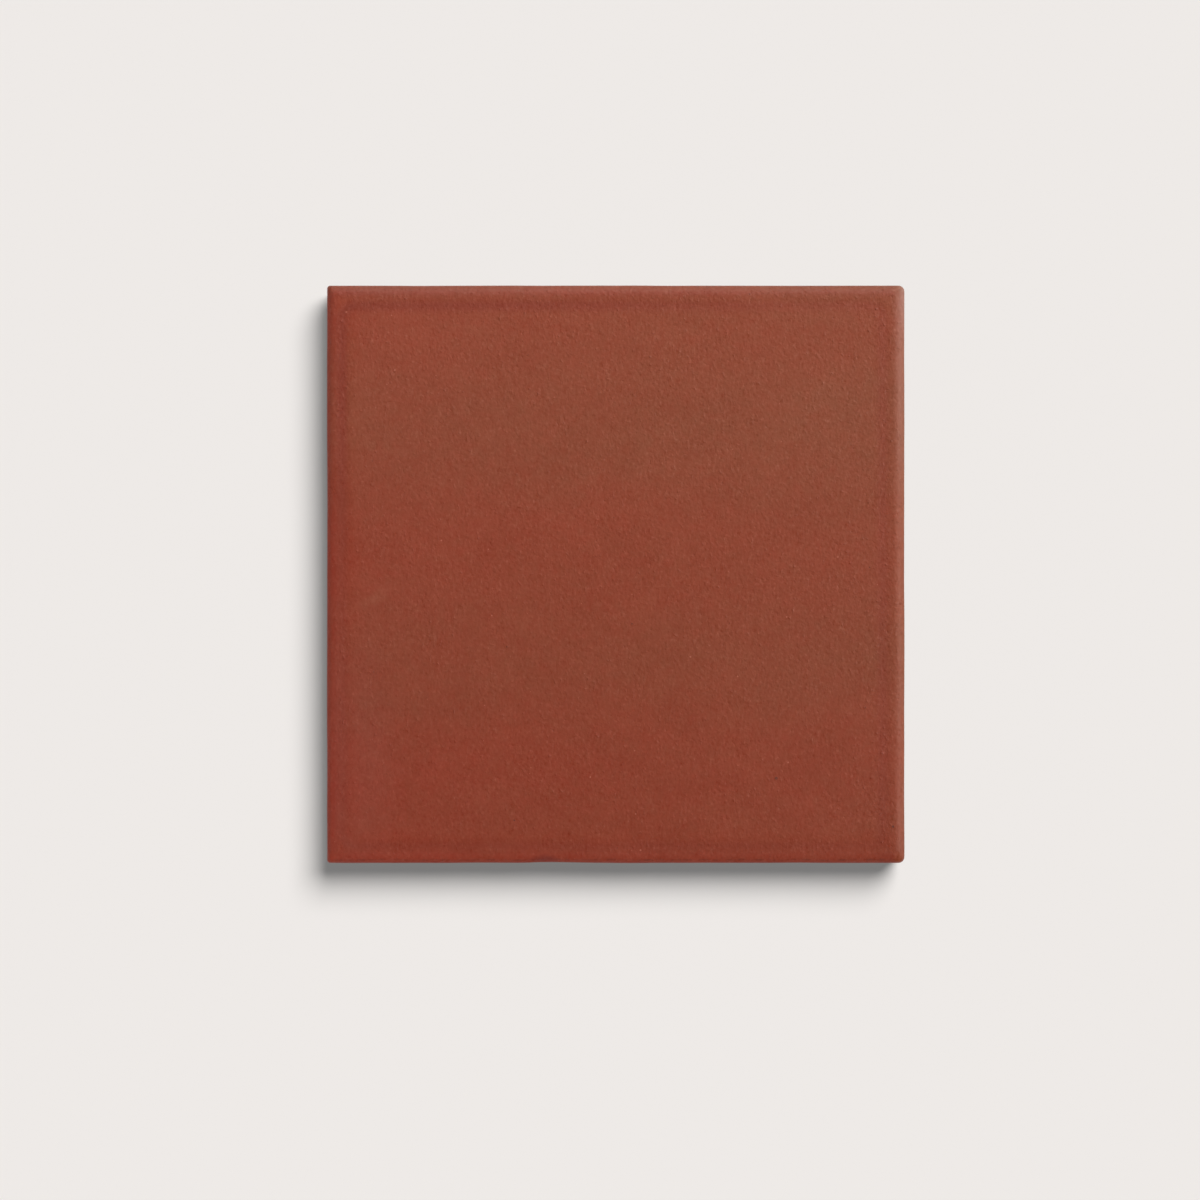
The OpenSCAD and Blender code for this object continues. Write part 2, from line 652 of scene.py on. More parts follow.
@dataclass(frozen=True)
class GlazeGrain:
    """The glaze's grain: short slanted strokes, stronger at the rear, the right and in patches."""

    height: float = 0.134 * MM
    relief_shift: float = 1.0
    strokes: Pattern = Pattern(0.53 * MM, 1.0, (1.0, 1.2, 1.0), turn=-4.0)
    patches: Pattern = Pattern(4.5 * MM, 2.0, shift=23.0, strength=1.2)
    ripple: Pattern = Pattern(1.3 * MM, 1.0, (1.0, 1.5, 1.0), 3.0, 0.0536 * MM, -4.0)
    across_gain: float = 2.2
    along_gain: float = 3.6
    soft_share: float = 0.69
    sharp_share: float = 16.0

    def share(self, bench: Bench, shift: float) -> Signal:
        """Makes the grain.

        Args:
            bench: Bench of the tile's material.
            shift: Place in the pattern of its strokes.

        Returns:
            The grain, about 0.
        """
        across, along, _ = bench.axes()
        strength = 1.0 + across * self.across_gain + along * self.along_gain + bench.noise(self.patches)
        fine = bench.noise(replace(self.strokes, shift=shift))
        square = fine * fine
        return (fine * (self.soft_share + square * self.sharp_share) + square) * strength

    def relief(self, bench: Bench) -> Signal:
        """Makes the height of the grain, in metres."""
        return self.share(bench, self.relief_shift) * self.height + bench.noise(self.ripple)


@dataclass(frozen=True)
class GlazeTone:
    """The glaze's tone: red at the front left and browner to the right and the rear, in level bands.

    The start is the share of brown in the middle of the face, to which the gains add, and from
    which the loss takes where the glaze ran thick, save in one strip at the rear.
    """

    red: Colour = (0.284, 0.0330, 0.0125)
    brown: Colour = (0.206, 0.0620, 0.0250)
    start: float = 0.465
    across_gain: float = 1.8
    along_gain: float = 2.8
    band_gap: float = 40.0 * MM
    band_place: float = 25.0 * MM
    band_gain: float = 0.080
    drift: Pattern = Pattern(30.0 * MM, 1.0, (1.6, 1.0, 1.0), 4.0, 16.0 * MM)
    patches: Pattern = Pattern(9.0 * MM, 4.0, (1.5, 1.0, 1.0), 9.0, 0.235)
    mottle: Pattern = Pattern(1.5 * MM, 1.0, shift=31.0, strength=0.27)
    thick_loss: float = 0.12
    thick_end: Strip = Strip(0.13, along=mm(4.0, 30.0, 39.0, 45.0))
    flush: Mark = Mark(mm(-42.0, 44.0, 8.0), mm(26.0, 10.0, 20.0), 0.06)

    def mixed(self, bench: Bench, thick: Signal) -> Socket:
        """Mixes the two colours.

        Args:
            bench: Bench of the tile's material.
            thick: Share of the strips where the glaze ran thick.

        Returns:
            The colour's socket.
        """
        across, along, _ = bench.axes()
        phase = (along + bench.noise(self.drift) - self.band_place) * (math.tau / self.band_gap)
        bands = bench.math("COSINE", phase) * self.band_gain
        loss = self.thick_loss - bench.strip(self.thick_end)
        share = self.start + across * self.across_gain + along * self.along_gain + bands
        share = share + bench.noise(self.patches) + bench.noise(self.mottle)
        share = share - (thick * loss + bench.spot(self.flush))
        return bench.blend(share, self.red, self.brown)


@dataclass(frozen=True)
class GlazePaintedLightAndMottle:
    """The glaze's painted light and dark: paler at the rear, the right and towards the edges, with a
    painted sheen, a painted sheen on the grain, and clouds and mottle of its own.

    A gain of painted light scales the glaze, and a painted sheen is added to it. Both go with the
    place across and along, or with its square.
    """

    start: float = 0.962
    across_gain: float = 0.55
    along_gain: float = 2.2
    across_square_gain: float = 5.0
    along_square_gain: float = 9.0
    along_painted_sheen: float = 0.052
    across_square_painted_sheen: float = 1.0
    along_square_painted_sheen: float = 0.4
    clouds: Pattern = Pattern(7.0 * MM, 3.0, (1.5, 1.0, 1.0), 2.0)
    cloud_gain: float = 0.15
    cloud_haze: float = 0.004
    mottle: Pattern = Pattern(2.1 * MM, 2.0, shift=33.0)
    mottle_gain: float = 0.12
    mottle_painted_sheen: float = 0.010
    grain_shift: float = 6.0
    grain_gain: float = 0.17
    grain_painted_sheen: float = 0.0265
    # Tint of the painted sheen that follows the grain and the mottle
    sheen_grain_tint: Colour = (1.0, 1.0, 0.80)
    # A paler patch at the left, towards the front
    pale_patch: Mark = Mark(mm(-46.0, -33.0, 8.0), mm(9.0, 26.0, 20.0), 0.005)

    def laid(self, bench: Bench, colour: Socket, grain: Signal, thick: Signal) -> Socket:
        """Paints the light, the sheen and the mottle on the glaze.

        Args:
            bench: Bench of the tile's material.
            colour: The glaze's colour so far.
            grain: The glaze's grain.
            thick: Share of the strips where the glaze ran thick and stays clear.

        Returns:
            The colour's socket.
        """
        across, along, _ = bench.axes()
        aside = across * across
        ahead = along * along
        clouds = bench.noise(self.clouds)
        mottle = bench.noise(self.mottle)
        # Painted light: paler to the rear and the right and towards all four edges, with the clouds and
        # mottle
        level = self.start + across * self.across_gain + along * self.along_gain
        level = level + aside * self.across_square_gain + ahead * self.along_square_gain
        level = level + clouds * self.cloud_gain + mottle * self.mottle_gain
        # Painted sheen: paler towards the edges and to the rear, with paler clouds and the paler patch
        painted_light_and_mottle = (aside * self.across_square_painted_sheen + ahead * self.along_square_painted_sheen) * (1.0 - thick)
        painted_light_and_mottle = painted_light_and_mottle + along * self.along_painted_sheen + clouds * self.cloud_haze + bench.spot(self.pale_patch)
        scaled = bench.scaled(colour, level + grain * self.grain_gain)
        # Painted sheen that follows the grain and the mottle
        painted_sheen_grain = mottle * self.mottle_painted_sheen + grain * self.grain_painted_sheen
        return bench.lifted(bench.lifted(scaled, painted_light_and_mottle), painted_sheen_grain, self.sheen_grain_tint)


@dataclass(frozen=True)
class GlazeFinish:
    """Satin brick-red glaze, mottled by the kiln and faintly grained."""

    tone: GlazeTone = GlazeTone()
    grain: GlazeGrain = GlazeGrain()
    # Painted light and sheen, with the glaze's clouds, mottle and grain
    painted_light_and_mottle: GlazePaintedLightAndMottle = GlazePaintedLightAndMottle()
    # Painted shade and light on the rolled edge, with its broken dark line
    burnt_clay_and_shaded_rim: PaintedRimShade = PaintedRimShade()
    # Painted highlight and shade on the rolled edge
    edge_highlight: PaintedEdgeHighlight = PaintedEdgeHighlight()
    roughness: float = 0.55
    thick_strips: Sizes = mm(42.5, 47.5)
    pooled: Colour = (0.205, 0.0285, 0.0115)
    pool_share: float = 0.46
    pool_left: Strip = Strip(0.52, mm(-42.0, -46.0), mm(-15.0, 35.0))
    pool_rear: Strip = Strip(0.34, mm(25.0, -20.0), mm(42.0, 46.0))
    # Painted sheen: a paler, bluer tint round the rolled edge
    rim_sheen_tint: Colour = (0.240, 0.0400, 0.0360)
    rim_sheen_place: Sizes = mm(47.4, 48.9)
    rim_sheen_share: float = 0.21
    stain: Colour = (0.120, 0.0195, 0.0170)
    stain_mark: Mark = Mark(mm(-12.2, -49.4, 7.4), mm(3.0, 1.2, 1.2), 0.5, shift=17.0)
    scuff: Colour = (0.40, 0.17, 0.095)
    scuff_mark: Mark = Mark(mm(-41.4, -4.1, 8.0), mm(2.9, 1.3, 1.0), 0.09, 32.0, 18.0)
    speckles: tuple[Speckle, ...] = (
        Speckle((0.64, 0.225, 0.15), 0.35, *mm(8.5, 0.03, 0.17), 0.31),
        Speckle((0.060, 0.015, 0.010), 0.7, *mm(21.0, 0.05, 0.26), 0.77),
    )
    speckled: Sizes = mm(6.6, 7.6)

    def pool(self, bench: Bench) -> Signal:
        """Makes the share of the deeper colour in the pressed line, most of it at the rear left."""
        more = bench.strip(self.pool_left).at_least(bench.strip(self.pool_rear))
        return bench.attribute("line_depth") * (self.pool_share + more)

    def colour(self, bench: Bench) -> Socket:
        """Makes the glaze's colour.

        Args:
            bench: Bench of the tile's material.

        Returns:
            The colour's socket.
        """
        across, along, up = bench.axes()
        thick = (across * -1.0).at_least(along * -1.0).rise(*self.thick_strips)
        outer = bench.math("ABSOLUTE", across).at_least(bench.math("ABSOLUTE", along))
        colour = self.tone.mixed(bench, thick)
        colour = bench.blend(self.pool(bench), colour, self.pooled)
        # Painted sheen round the rolled edge
        colour = bench.blend(outer.rise(*self.rim_sheen_place) * self.rim_sheen_share, colour, self.rim_sheen_tint)
        colour = bench.blend(bench.spot(self.stain_mark), colour, self.stain)
        colour = bench.blend(bench.spot(self.scuff_mark), colour, self.scuff)
        # Painted shade, light and highlight on the rolled edge, with its broken dark line
        colour = self.edge_highlight.laid(bench, self.burnt_clay_and_shaded_rim.laid(bench, colour))
        # Painted light and sheen, with the clouds, the mottle and the grain
        colour = self.painted_light_and_mottle.laid(bench, colour, self.grain.share(bench, self.painted_light_and_mottle.grain_shift), thick)
        level = up.rise(*self.speckled)
        for speckle in self.speckles:
            colour = bench.blend(bench.specks(speckle) * level * speckle.share, colour, speckle.colour)
        return colour


@dataclass(frozen=True)
class BiscuitFinish:
    """Bare fired clay below the glaze and on the back: matt, paler, gritty and pale on its rib tips.

    The ends of a pattern are its values at which what it places sets in and is full.
    """

    clay: Colour = (0.36, 0.125, 0.066)
    burnt_clay_and_shaded_rim: Colour = (0.25, 0.075, 0.040)
    dust: Colour = (0.50, 0.26, 0.17)
    wash: Colour = (0.60, 0.40, 0.30)
    roughness: float = 0.88
    clouds: Pattern = Pattern(16.0 * MM, 3.0, shift=12.0)
    cloud_ends: Sizes = (-0.25, 0.25)
    grit: Pattern = Pattern(0.5 * MM, 1.0, shift=13.0)
    grit_ends: Sizes = (0.12, 0.3)
    grit_share: float = 0.6
    tips: Sizes = mm(0.30, 0.05)
    patches: Pattern = Pattern(2.6 * MM, 3.0, shift=15.0)
    patch_ends: Sizes = (-0.25, 0.30)
    wash_share: float = 0.12
    wash_gain: float = 0.5
    bumps: Pattern = Pattern(0.35 * MM, 2.0, shift=14.0, strength=0.03 * MM)

    def colour(self, bench: Bench) -> Socket:
        """Makes the clay's colour: burnt in clouds, with pale grit, and kiln wash where it stood.

        Args:
            bench: Bench of the tile's material.

        Returns:
            The colour's socket.
        """
        clouds = bench.noise(self.clouds).rise(*self.cloud_ends)
        grit = bench.noise(self.grit).rise(*self.grit_ends) * self.grit_share
        gritty = bench.blend(grit, bench.blend(clouds, self.clay, self.burnt_clay_and_shaded_rim), self.dust)
        patchy = bench.noise(self.patches).rise(*self.patch_ends) * self.wash_gain
        wash = bench.axes()[2].rise(*self.tips) * (self.wash_share + patchy)
        return bench.blend(wash, gritty, self.wash)


@dataclass(frozen=True)
class FiredTile:
    """The tile's one finish: glaze down to its uneven lower edge, and bare clay below it.

    Its edge and rim are heights over the glaze's lower edge: where the glaze sets in, and where
    the darker rim above it fades out.
    """

    glaze: GlazeFinish = GlazeFinish()
    biscuit: BiscuitFinish = BiscuitFinish()
    specular: float = 0.16
    edge: Sizes = mm(-0.05, 0.05)
    edge_rag: Pattern = Pattern(0.8 * MM, 1.0, shift=21.0, strength=0.25 * MM)
    rim: Sizes = mm(0.5, 0.0)
    rim_share: float = 0.45
    sheen: Pattern = Pattern(9.0 * MM, 2.0, (1.5, 1.0, 1.0), 5.0, 0.10)

    def material(self) -> bpy.types.Material:
        """Makes the material.

        Returns:
            The material.
        """
        made = bpy.data.materials.new("fired_tile")
        bench = Bench(made)
        above = bench.attribute("glaze_height")
        glazed = (above + bench.noise(self.edge_rag)).rise(*self.edge)
        rim = glazed * above.rise(*self.rim) * self.rim_share
        colour = bench.blend(glazed, self.biscuit.colour(bench), self.glaze.colour(bench))
        gloss = self.glaze.roughness - self.biscuit.roughness + bench.noise(self.sheen)
        grit = bench.noise(self.biscuit.bumps)
        height = grit * (1.0 - glazed) + self.glaze.grain.relief(bench) * glazed
        bump = bench.node("ShaderNodeBump", {"Height": height, "Distance": 1.0})
        inputs = {
            "Base Color": bench.blend(rim, colour, self.glaze.pooled),
            "Roughness": self.biscuit.roughness + glazed * gloss,
            "Specular IOR Level": self.specular,
            "Normal": bump.outputs["Normal"],
        }
        shader = bench.node("ShaderNodeBsdfPrincipled", inputs)
        bench.node("ShaderNodeOutputMaterial", {"Surface": shader.outputs["BSDF"]})
        return made


@dataclass(frozen=True)
class GlazeLayer:
    """How the glaze lies: in soft swells, proud of the bare clay, with a bead at its lower edge.

    Strips are measured in from the sides or down from the face, and the bare clay and the bead
    up from the lower edge. A swell is its height, its size and how many finer layers it has.
    """

    edge: GlazeEdge = GlazeEdge()
    side_strip: Sizes = mm(2.4, 1.2)
    foot: Sizes = mm(0.7, 1.8)
    face_strip: Sizes = mm(1.6, 0.6)
    thickness: float = 0.10 * MM
    bare_ends: Sizes = mm(0.0, -0.25)
    bead: float = 0.05 * MM
    bead_place: float = 0.3 * MM
    bead_width: float = 0.3 * MM
    side_swell: tuple[float, float, int] = (0.12 * MM, 11.0 * MM, 1)
    face_swells: tuple[Sizes, ...] = (mm(0.030, 10.0), mm(0.030, 2.4))


@dataclass(frozen=True)
class Dent:
    """The dent in the front edge, knocked in before firing: short on the left, long on the right."""

    place: float = -12.6 * MM
    below_face: float = 1.6 * MM
    left: float = 2.4 * MM
    right: float = 8.0 * MM
    inward: float = 0.9 * MM
    height: float = 2.2 * MM
    depth: float = 0.13 * MM

    def share(self, away: Vector) -> float:
        """Returns how far a point lies in the dent, by how far it is from the dent's middle."""
        reach = self.left if away.x < 0.0 else self.right
        return bell(away.x / reach, away.y / self.inward, away.z / self.height)


@dataclass
class PressedTile:
    """The tile: pressed block, rolled edges, line round the face, keyed back and glaze.

    The line's inset and turns are taken at its middle, and its spread is half of its softened
    width, as a share of its width. Each row of cuts is the least length or the least and
    greatest rise of the edges cut, and how many cuts they get.
    """

    low: Vector
    high: Vector
    edge_r: float = 2.0 * MM
    edge_steps: int = 8
    left_corner_r: float = 0.5 * MM
    right_corner_r: float = 1.0 * MM
    upright_h: float = 2.0 * MM
    side_draft: float = 0.3 * MM
    back_bevel: float = 0.6 * MM
    line_inset: float = 3.3 * MM
    line_w: float = 2.4 * MM
    line_d: float = 0.08 * MM
    line_turn_r: float = 2.4 * MM
    line_spread: float = 0.7
    face_depth: float = 0.5 * MM
    pool_shift: Sizes = mm(-0.55, -0.3, 0.0)
    keys: int = 8
    key_rim: float = 6.0 * MM
    key_rib_w: float = 2.2 * MM
    key_d: float = 0.7 * MM
    key_lean: float = 0.45 * MM
    key_softness: float = 0.12 * MM
    key_steps: int = 2
    face_cuts: tuple[tuple[float, int], ...] = ((80.0 * MM, 4), (15.0 * MM, 45))
    side_cuts: tuple[tuple[Sizes, int], ...] = (
        (mm(2.9, 4.0), 10),
        (mm(1.8, 2.6), 7),
        (mm(0.55, 0.65), 1),
    )
    smooth_angle: float = 35.0
    finish: FiredTile = FiredTile()
    layer: GlazeLayer = GlazeLayer()
    dent: Dent = Dent()

    @property
    def half(self) -> float:
        """Half of the tile's width and length."""
        return (self.high.x - self.low.x) / 2.0

    @property
    def top(self) -> float:
        """Height of the face."""
        return self.high.z

    def build(self) -> bpy.types.Object:
        """Makes the tile and gives it its finish.

        Returns:
            The finished piece.
        """
        hands = Shaper(self.block())
        hands.open()
        self.draw_in_foot(hands)
        self.key_back(hands)
        hands.close()
        self.roll_edges(hands)
        hands.open()
        self.cut_fine(hands)
        hands.close()
        self.press_line(hands)
        self.lay_glaze(hands)
        self.chip_front(hands)
        self.record_glaze(hands)
        self.dress(hands)
        return hands.piece

    def block(self) -> bpy.types.Object:
        """Makes the plain block at the tile's size and place.

        Returns:
            The block.
        """
        bpy.ops.object.select_all(action="DESELECT")
        middle = (self.low + self.high) / 2.0
        bpy.ops.mesh.primitive_cube_add(size=1.0, location=middle, scale=self.high - self.low)
        piece = bpy.context.object
        piece.name = "glazed_tile"
        bpy.ops.object.transform_apply(location=True, rotation=True, scale=True)
        return piece

    def draw_in_foot(self, hands: Shaper) -> None:
        """Draws the sides in below their upright band, and bevels them into the back.

        Args:
            hands: Hands on the block, in edit mode.
        """
        band_foot = self.top - self.edge_r - self.upright_h
        for height in (band_foot, self.back_bevel):
            bpy.ops.mesh.select_all(action="SELECT")
            hands.slice(Vector((0.0, 0.0, height)), Vector((0.0, 0.0, 1.0)))
        insets = ((self.back_bevel, self.side_draft), (0.0, self.side_draft + self.back_bevel))
        for height, inset in insets:
            hands.pick(Pick.POINTS, lambda point: abs(point.co.z - height) < SNUG)
            share = (self.half - inset) / self.half
            bpy.ops.transform.resize(value=(share, share, 1.0), center_override=(0.0, 0.0, 0.0))

    def key_back(self, hands: Shaper) -> None:
        """Presses the rows of pockets into the back, with softened edges.

        Args:
            hands: Hands on the block, in edit mode.
        """

        def is_back(face: bmesh.types.BMFace) -> bool:
            """Tells whether a face is part of the back."""
            return face.normal.z < -FACING

        def is_field(face: bmesh.types.BMFace) -> bool:
            """Tells whether a face is part of the back within its plain rim."""
            return is_back(face) and outermost(face.calc_center_median()) < field_half

        field_half = self.half - self.key_rim
        mouth = (2.0 * field_half - (self.keys - 1) * self.key_rib_w) / self.keys
        pitch = mouth + self.key_rib_w
        hands.pick(Pick.FACES, is_back)
        bpy.ops.mesh.inset(thickness=self.key_rim - self.side_draft - self.back_bevel)
        starts = [count * pitch - field_half for count in range(self.keys)]
        walls = [start + end for start in starts for end in (0.0, mouth)]
        for axis in LEVEL_AXES:
            for wall in walls[1:-1]:
                hands.pick(Pick.FACES, is_field)
                hands.slice(axis * wall, axis)

        def is_mouth(face: bmesh.types.BMFace) -> bool:
            """Tells whether a face is the mouth of a pocket.

            Args:
                face: The face.

            Returns:
                Whether its middle is on a pocket's place.
            """
            middle = face.calc_center_median()
            places = [(abs(value) - pitch / 2.0) % pitch for value in middle.xy]
            return is_field(face) and all(min(place, pitch - place) < SNUG for place in places)

        found = hands.pick(Pick.FACES, is_mouth)
        LOG.info("back: %d pockets of %.2f mm", found, mouth / MM)
        bpy.ops.mesh.inset(thickness=self.key_lean, depth=-self.key_d, use_individual=True)

        def is_pocket_edge(edge: bmesh.types.BMEdge) -> bool:
            """Tells whether an edge belongs to a pocket.

            Args:
                edge: The edge.

            Returns:
                Whether it runs round a pocket's mouth or floor, or down its corner.
            """
            turn = edge.calc_face_angle(0.0)
            low = min(point.co.z for point in edge.verts)
            outer = max(outermost(point.co) for point in edge.verts)
            return turn > SHARP and low < self.key_d + SNUG and outer < field_half + SNUG

        hands.pick(Pick.EDGES, is_pocket_edge)
        bpy.ops.mesh.bevel(offset=self.key_softness, segments=self.key_steps, affect="EDGES")

    def roll_edges(self, hands: Shaper) -> None:
        """Rounds the four upright corners and rolls the face over into the sides.

        Args:
            hands: Hands on the block, in object mode.
        """
        mesh = hands.piece.data
        weights = mesh.attributes.new("bevel_weight_edge", "FLOAT", "EDGE")
        points = mesh.vertices
        for edge in mesh.edges:
            first, second = (points[index].co for index in edge.vertices)
            outer = min(outermost(first), outermost(second))
            if outer < self.half - self.side_draft - self.back_bevel - SNUG:
                continue
            if min(first.z, second.z) > self.top - SNUG:
                weights.data[edge.index].value = 1.0
            elif abs(first.z - second.z) > SNUG:
                corner_r = self.left_corner_r if first.x < 0.0 else self.right_corner_r
                weights.data[edge.index].value = corner_r / self.edge_r
        hands.apply("BEVEL", width=self.edge_r, segments=self.edge_steps, limit_method="WEIGHT")

    def cut_fine(self, hands: Shaper) -> None:
        """Cuts the face and the sides into small squares, which take the later relief.

        Args:
            hands: Hands on the block, in edit mode.
        """
        for axis in LEVEL_AXES:
            for length, cuts in self.face_cuts:

                def runs_along(edge: bmesh.types.BMEdge, least: float = length) -> bool:
                    """Tells whether an edge is long and runs along the axis."""
                    run = edge.verts[1].co - edge.verts[0].co
                    return run.length > least and abs(run.dot(axis)) > STRAIGHT * run.length

                hands.divide(runs_along, cuts)
        for rises, cuts in self.side_cuts:

            def stands(edge: bmesh.types.BMEdge, ends: Sizes = rises) -> bool:
                """Tells whether an edge stands in the sides.

                Args:
                    edge: The edge.
                    ends: Least and greatest rise.

                Returns:
                    Whether it is in the sides and its rise is within the ends.
                """
                first, second = (point.co for point in edge.verts)
                outer = outermost((first + second) / 2.0) > self.half - self.edge_r
                return outer and ends[0] < abs(second.z - first.z) < ends[1]

            hands.divide(stands, cuts)

    def edge_distance(self, point: Vector) -> float:
        """Measures how far in from the tile's sides a point lies, turning round the corners.

        Args:
            point: The point.

        Returns:
            The distance, in metres.
        """
        turn_r = self.line_inset + self.line_turn_r
        corner = self.half - turn_r
        over_x = abs(point.x) - corner
        over_y = abs(point.y) - corner
        outside = math.hypot(max(over_x, 0.0), max(over_y, 0.0))
        return turn_r - outside - min(max(over_x, over_y), 0.0)

    def line_share(self, point: Vector) -> float:
        """Returns how deep a point lies in the pressed line, from 0 beside it to 1 in it."""
        across = (self.edge_distance(point) - self.line_inset) / (self.line_spread * self.line_w)
        return eased(abs(across), 1.0, 0.0) if point.z > self.top - self.face_depth else 0.0

    def press_line(self, hands: Shaper) -> None:
        """Presses the shallow line round the face."""
        hands.shift(hands.group("line", self.line_share), -self.line_d, "Z")

    def lay_glaze(self, hands: Shaper) -> None:
        """Gives the glaze its swells, its uneven outline and its thick lower edge.

        Args:
            hands: Hands on the tile, in object mode.
        """
        layer = self.layer
        above = layer.edge.rule()
        side_ends = [self.half - inset for inset in layer.side_strip]
        face_ends = [self.top - depth for depth in layer.face_strip]

        def on_side(point: Vector) -> float:
            """Returns 1 on the sides and the rolled edge, and 0 on the face and back."""
            return eased(outermost(point), *side_ends) * eased(point.z, *layer.foot)

        def on_bare(point: Vector) -> float:
            """Returns 1 on the sides below the glaze."""
            return on_side(point) * eased(above(point), *layer.bare_ends)

        def on_bead(point: Vector) -> float:
            """Returns 1 along the glaze's lower edge."""
            return on_side(point) * bell((above(point) - layer.bead_place) / layer.bead_width)

        hands.shift(hands.group("bare_side", on_bare), -layer.thickness)
        hands.shift(hands.group("bead", on_bead), layer.bead)
        hands.swell(hands.group("outline", on_side), *layer.side_swell)
        face = hands.group("face", lambda point: eased(point.z, *face_ends))
        for height, size in layer.face_swells:
            hands.swell(face, height, size)

    def chip_front(self, hands: Shaper) -> None:
        """Dents the front edge."""
        middle = Vector((self.dent.place, -self.half, self.top - self.dent.below_face))
        hands.shift(hands.group("dent", lambda point: self.dent.share(point - middle)), -self.dent.depth)

    def record_glaze(self, hands: Shaper) -> None:
        """Writes the numbers that the finish reads at the mesh's points.

        Args:
            hands: Hands on the tile, in object mode.
        """
        above = self.layer.edge.rule()
        mesh = hands.piece.data
        heights = mesh.attributes.new("glaze_height", "FLOAT", "POINT")
        depths = mesh.attributes.new("line_depth", "FLOAT", "POINT")
        shift = Vector(self.pool_shift)
        for point in mesh.vertices:
            heights.data[point.index].value = above(point.co)
            depths.data[point.index].value = self.line_share(point.co - shift)
        bpy.ops.object.vertex_group_remove(all=True)

    def dress(self, hands: Shaper) -> None:
        """Smooths the surface, gives it its finish and stands it in for the CAD node.

        Args:
            hands: Hands on the tile, in object mode.
        """
        bpy.ops.object.shade_smooth_by_angle(angle=math.radians(self.smooth_angle))
        hands.piece.data.materials.append(self.finish.material())
        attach(hands.piece, "root")
        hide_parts("tile")


class Lit(Enum):
    """What a lamp lights, as flags on its stand shade it from the rest."""

    TILE = "tile_side"
    FLOOR = "floor_side"


@dataclass(frozen=True)
class Lamp:
    """A broad, even lamp, far away.

    Its spread is its angle across, in degrees, and its share is of the light on a level surface.
    It is mirrored if it shows in the sheen, and soft if it lights the surface's own colour.
    """

    name: str
    lights: Lit
    toward: tuple[float, float, float]
    spread: float
    share: float
    mirrored: bool = True
    soft: bool = True

    def hang(self, sides: Mapping[Lit, bpy.types.Collection]) -> None:
        """Adds the lamp; at full share it alone lights a level surface to its own colour.

        Args:
            sides: The objects that each kind of lamp lights.
        """
        toward = Vector(self.toward).normalized()
        made = bpy.data.lights.new(self.name, "SUN")
        made.angle = math.radians(self.spread)
        made.energy = math.pi * self.share / toward.z
        lamp = bpy.data.objects.new(self.name, made)
        bpy.context.scene.collection.objects.link(lamp)
        lamp.rotation_euler = toward.to_track_quat("Z", "Y").to_euler()
        lamp.visible_glossy = self.mirrored
        lamp.visible_diffuse = self.soft
        lamp.light_linking.receiver_collection = sides[self.lights]


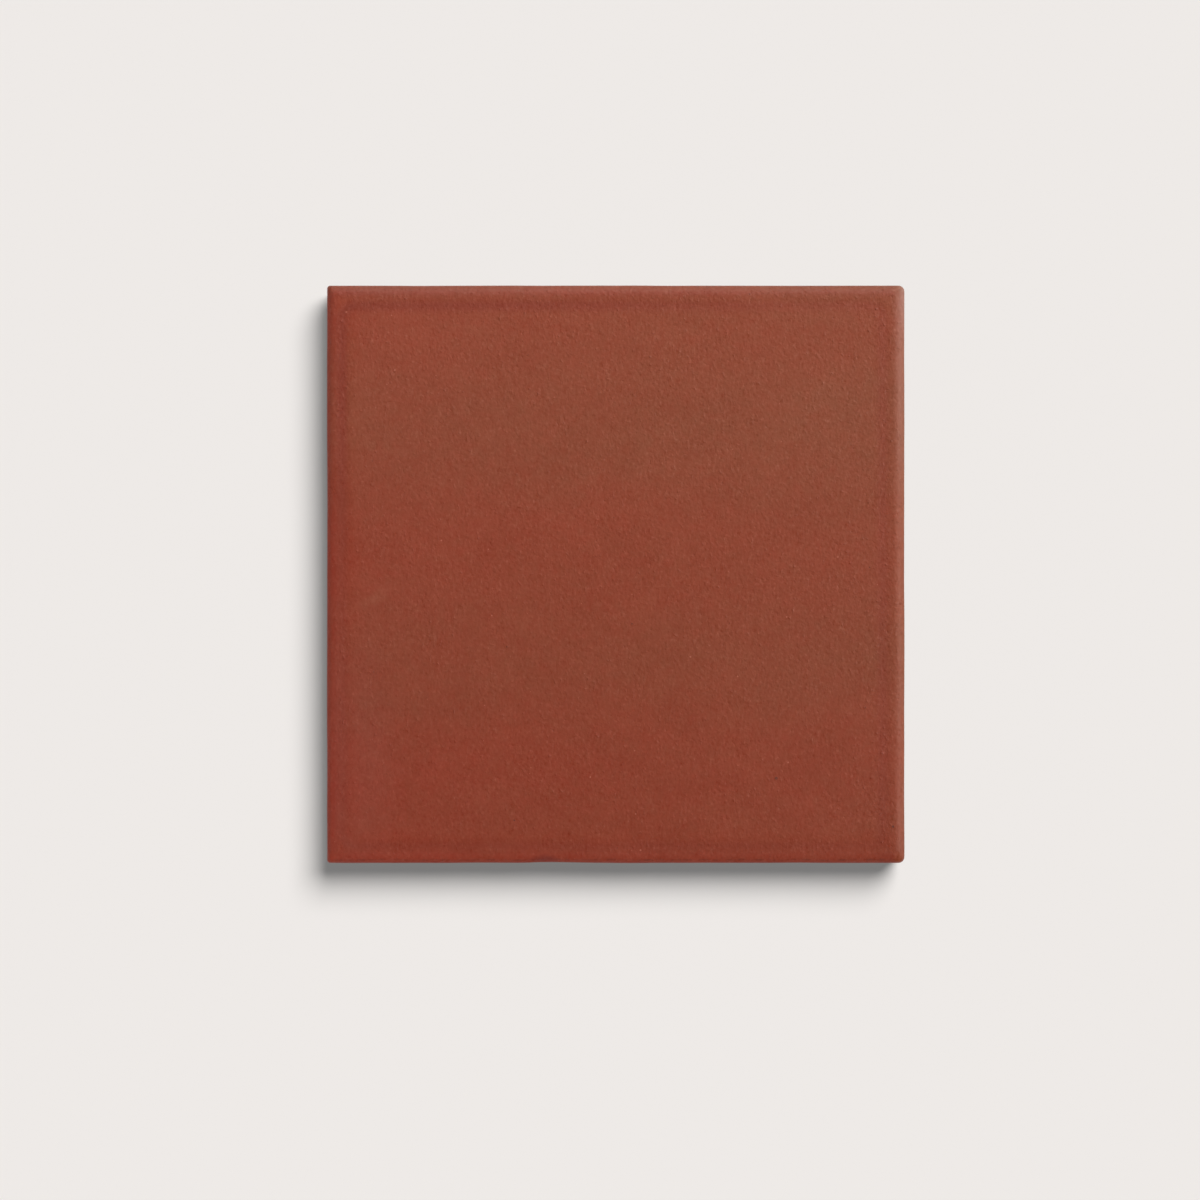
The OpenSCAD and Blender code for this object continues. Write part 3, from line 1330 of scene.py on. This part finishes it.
@dataclass(frozen=True)
class Studio:
    """The plain pale surroundings: floor, lamps, sky and camera.

    The middle is that of the tile's face. The lens and the sensor are in millimetres, and the
    view's width is taken at the face.
    """

    tile: bpy.types.Object
    middle: Vector
    pale: Colour = (0.855, 0.823, 0.799)
    shadow: Colour = (0.135, 0.135, 0.135)
    ceiling: Colour = (0.05, 0.05, 0.05)
    wall_top: float = 0.34
    floor_half: float = 6.0
    lens: float = 100.0
    sensor: float = 36.0
    sight: float = 20.0
    view_width: float = 207.17 * MM
    view_shift: tuple[float, float] = (-2.73 * MM, -4.46 * MM)
    lamps: tuple[Lamp, ...] = (
        Lamp("softbox", Lit.TILE, (0.06, -0.18, 1.0), 80.0, 0.625, mirrored=False),
        Lamp("right_window", Lit.TILE, (2.0, 0.5, 1.0), 60.0, 0.12),
        Lamp("rear_window", Lit.TILE, (0.4, 2.2, 1.0), 50.0, 0.115),
        Lamp("right_sheen", Lit.TILE, (2.5, 0.4, 1.0), 62.0, 0.48, soft=False),
        Lamp("rear_sheen", Lit.TILE, (0.3, 2.4, 1.0), 60.0, 0.28, soft=False),
        Lamp("floor_light", Lit.FLOOR, (0.495, 0.72, 1.0), 37.0, 0.923),
    )

    def split(self, output: str, bench: Bench, lighting: bpy.types.Node, shown: bpy.types.Node) -> None:
        """Joins what the floor or the sky gives to light and what it shows.

        Args:
            output: Blender's type name of the output node.
            bench: Bench of the floor's material or the sky.
            lighting: Shader that light meets.
            shown: Shader that the camera, mirrors and clear surfaces see.
        """
        path = bench.node("ShaderNodeLightPath").outputs
        camera, glossy, through = (
            Signal(bench, path[f"Is {kind} Ray"]) for kind in ("Camera", "Glossy", "Transmission")
        )
        seen = camera.at_least(glossy).at_least(through)
        inputs = {0: seen, 1: lighting.outputs[0], 2: shown.outputs[0]}
        bench.node(output, {"Surface": bench.node("ShaderNodeMixShader", inputs).outputs[0]})

    def lay_floor(self) -> bpy.types.Object:
        """Lays the pale floor, which keeps the tile's soft shadow.

        Returns:
            The floor.
        """
        bpy.ops.object.select_all(action="DESELECT")
        bpy.ops.mesh.primitive_plane_add(size=2.0 * self.floor_half, location=(0.0, 0.0, 0.0))
        floor = bpy.context.object
        floor.name = "floor"
        made = bpy.data.materials.new("pale_floor")
        bench = Bench(made)
        plain = bench.node("ShaderNodeBsdfDiffuse", {"Color": self.pale})
        rest = tuple(whole - part for whole, part in zip(self.pale, self.shadow, strict=True))
        shaded = bench.node("ShaderNodeBsdfDiffuse", {"Color": rest})
        glow = bench.node("ShaderNodeEmission", {"Color": self.shadow})
        both = bench.node("ShaderNodeAddShader", {0: shaded.outputs[0], 1: glow.outputs[0]})
        self.split("ShaderNodeOutputMaterial", bench, plain, both)
        floor.data.materials.append(made)
        return floor

    def raise_walls(self) -> None:
        """Makes the room: pale where it is seen, and lit by pale walls under a dim ceiling."""
        world = bpy.data.worlds.new("room")
        bpy.context.scene.world = world
        bench = Bench(world)
        toward = bench.node("ShaderNodeTexCoord").outputs["Generated"]
        parts = bench.node("ShaderNodeSeparateXYZ", {0: toward})
        height = Signal(bench, parts.outputs[2]).rise(0.0, self.wall_top)
        colour = bench.blend(height, self.pale, self.ceiling)
        light = bench.node("ShaderNodeBackground", {"Color": colour})
        backdrop = bench.node("ShaderNodeBackground", {"Color": self.pale})
        self.split("ShaderNodeOutputWorld", bench, light, backdrop)

    def set_camera(self) -> None:
        """Sets the camera straight above the tile, a little to the left of it and in front."""
        made = bpy.data.cameras.new("camera")
        made.lens = self.lens
        made.sensor_width = self.sensor
        made.clip_end = self.sight
        camera = bpy.data.objects.new("camera", made)
        bpy.context.scene.collection.objects.link(camera)
        distance = self.view_width * self.lens / self.sensor
        camera.location = self.middle + Vector((*self.view_shift, distance))
        bpy.context.scene.camera = camera

    def build(self) -> None:
        """Sets up everything round the tile."""
        self.set_camera()
        sides = {}
        for side, lit in ((Lit.TILE, self.tile), (Lit.FLOOR, self.lay_floor())):
            sides[side] = bpy.data.collections.new(side.value)
            sides[side].objects.link(lit)
        self.tile.visible_diffuse = False
        self.raise_walls()
        for lamp in self.lamps:
            lamp.hang(sides)
        bpy.context.scene.view_settings.view_transform = "Standard"


def main() -> None:
    """Builds the tile and the studio round it."""
    logging.basicConfig(level=logging.INFO, format="%(name)s: %(message)s")
    low, high = (Vector(corner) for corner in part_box("tile"))
    piece = PressedTile(low, high).build()
    LOG.info("%s: %d points, %d faces", piece.name, len(piece.data.vertices), len(piece.data.polygons))
    Studio(piece, Vector(((low.x + high.x) / 2.0, (low.y + high.y) / 2.0, high.z))).build()
    LOG.info("studio: floor, %d lamps, sky and camera", len(Studio.lamps))


if __name__ == "__main__":
    main()
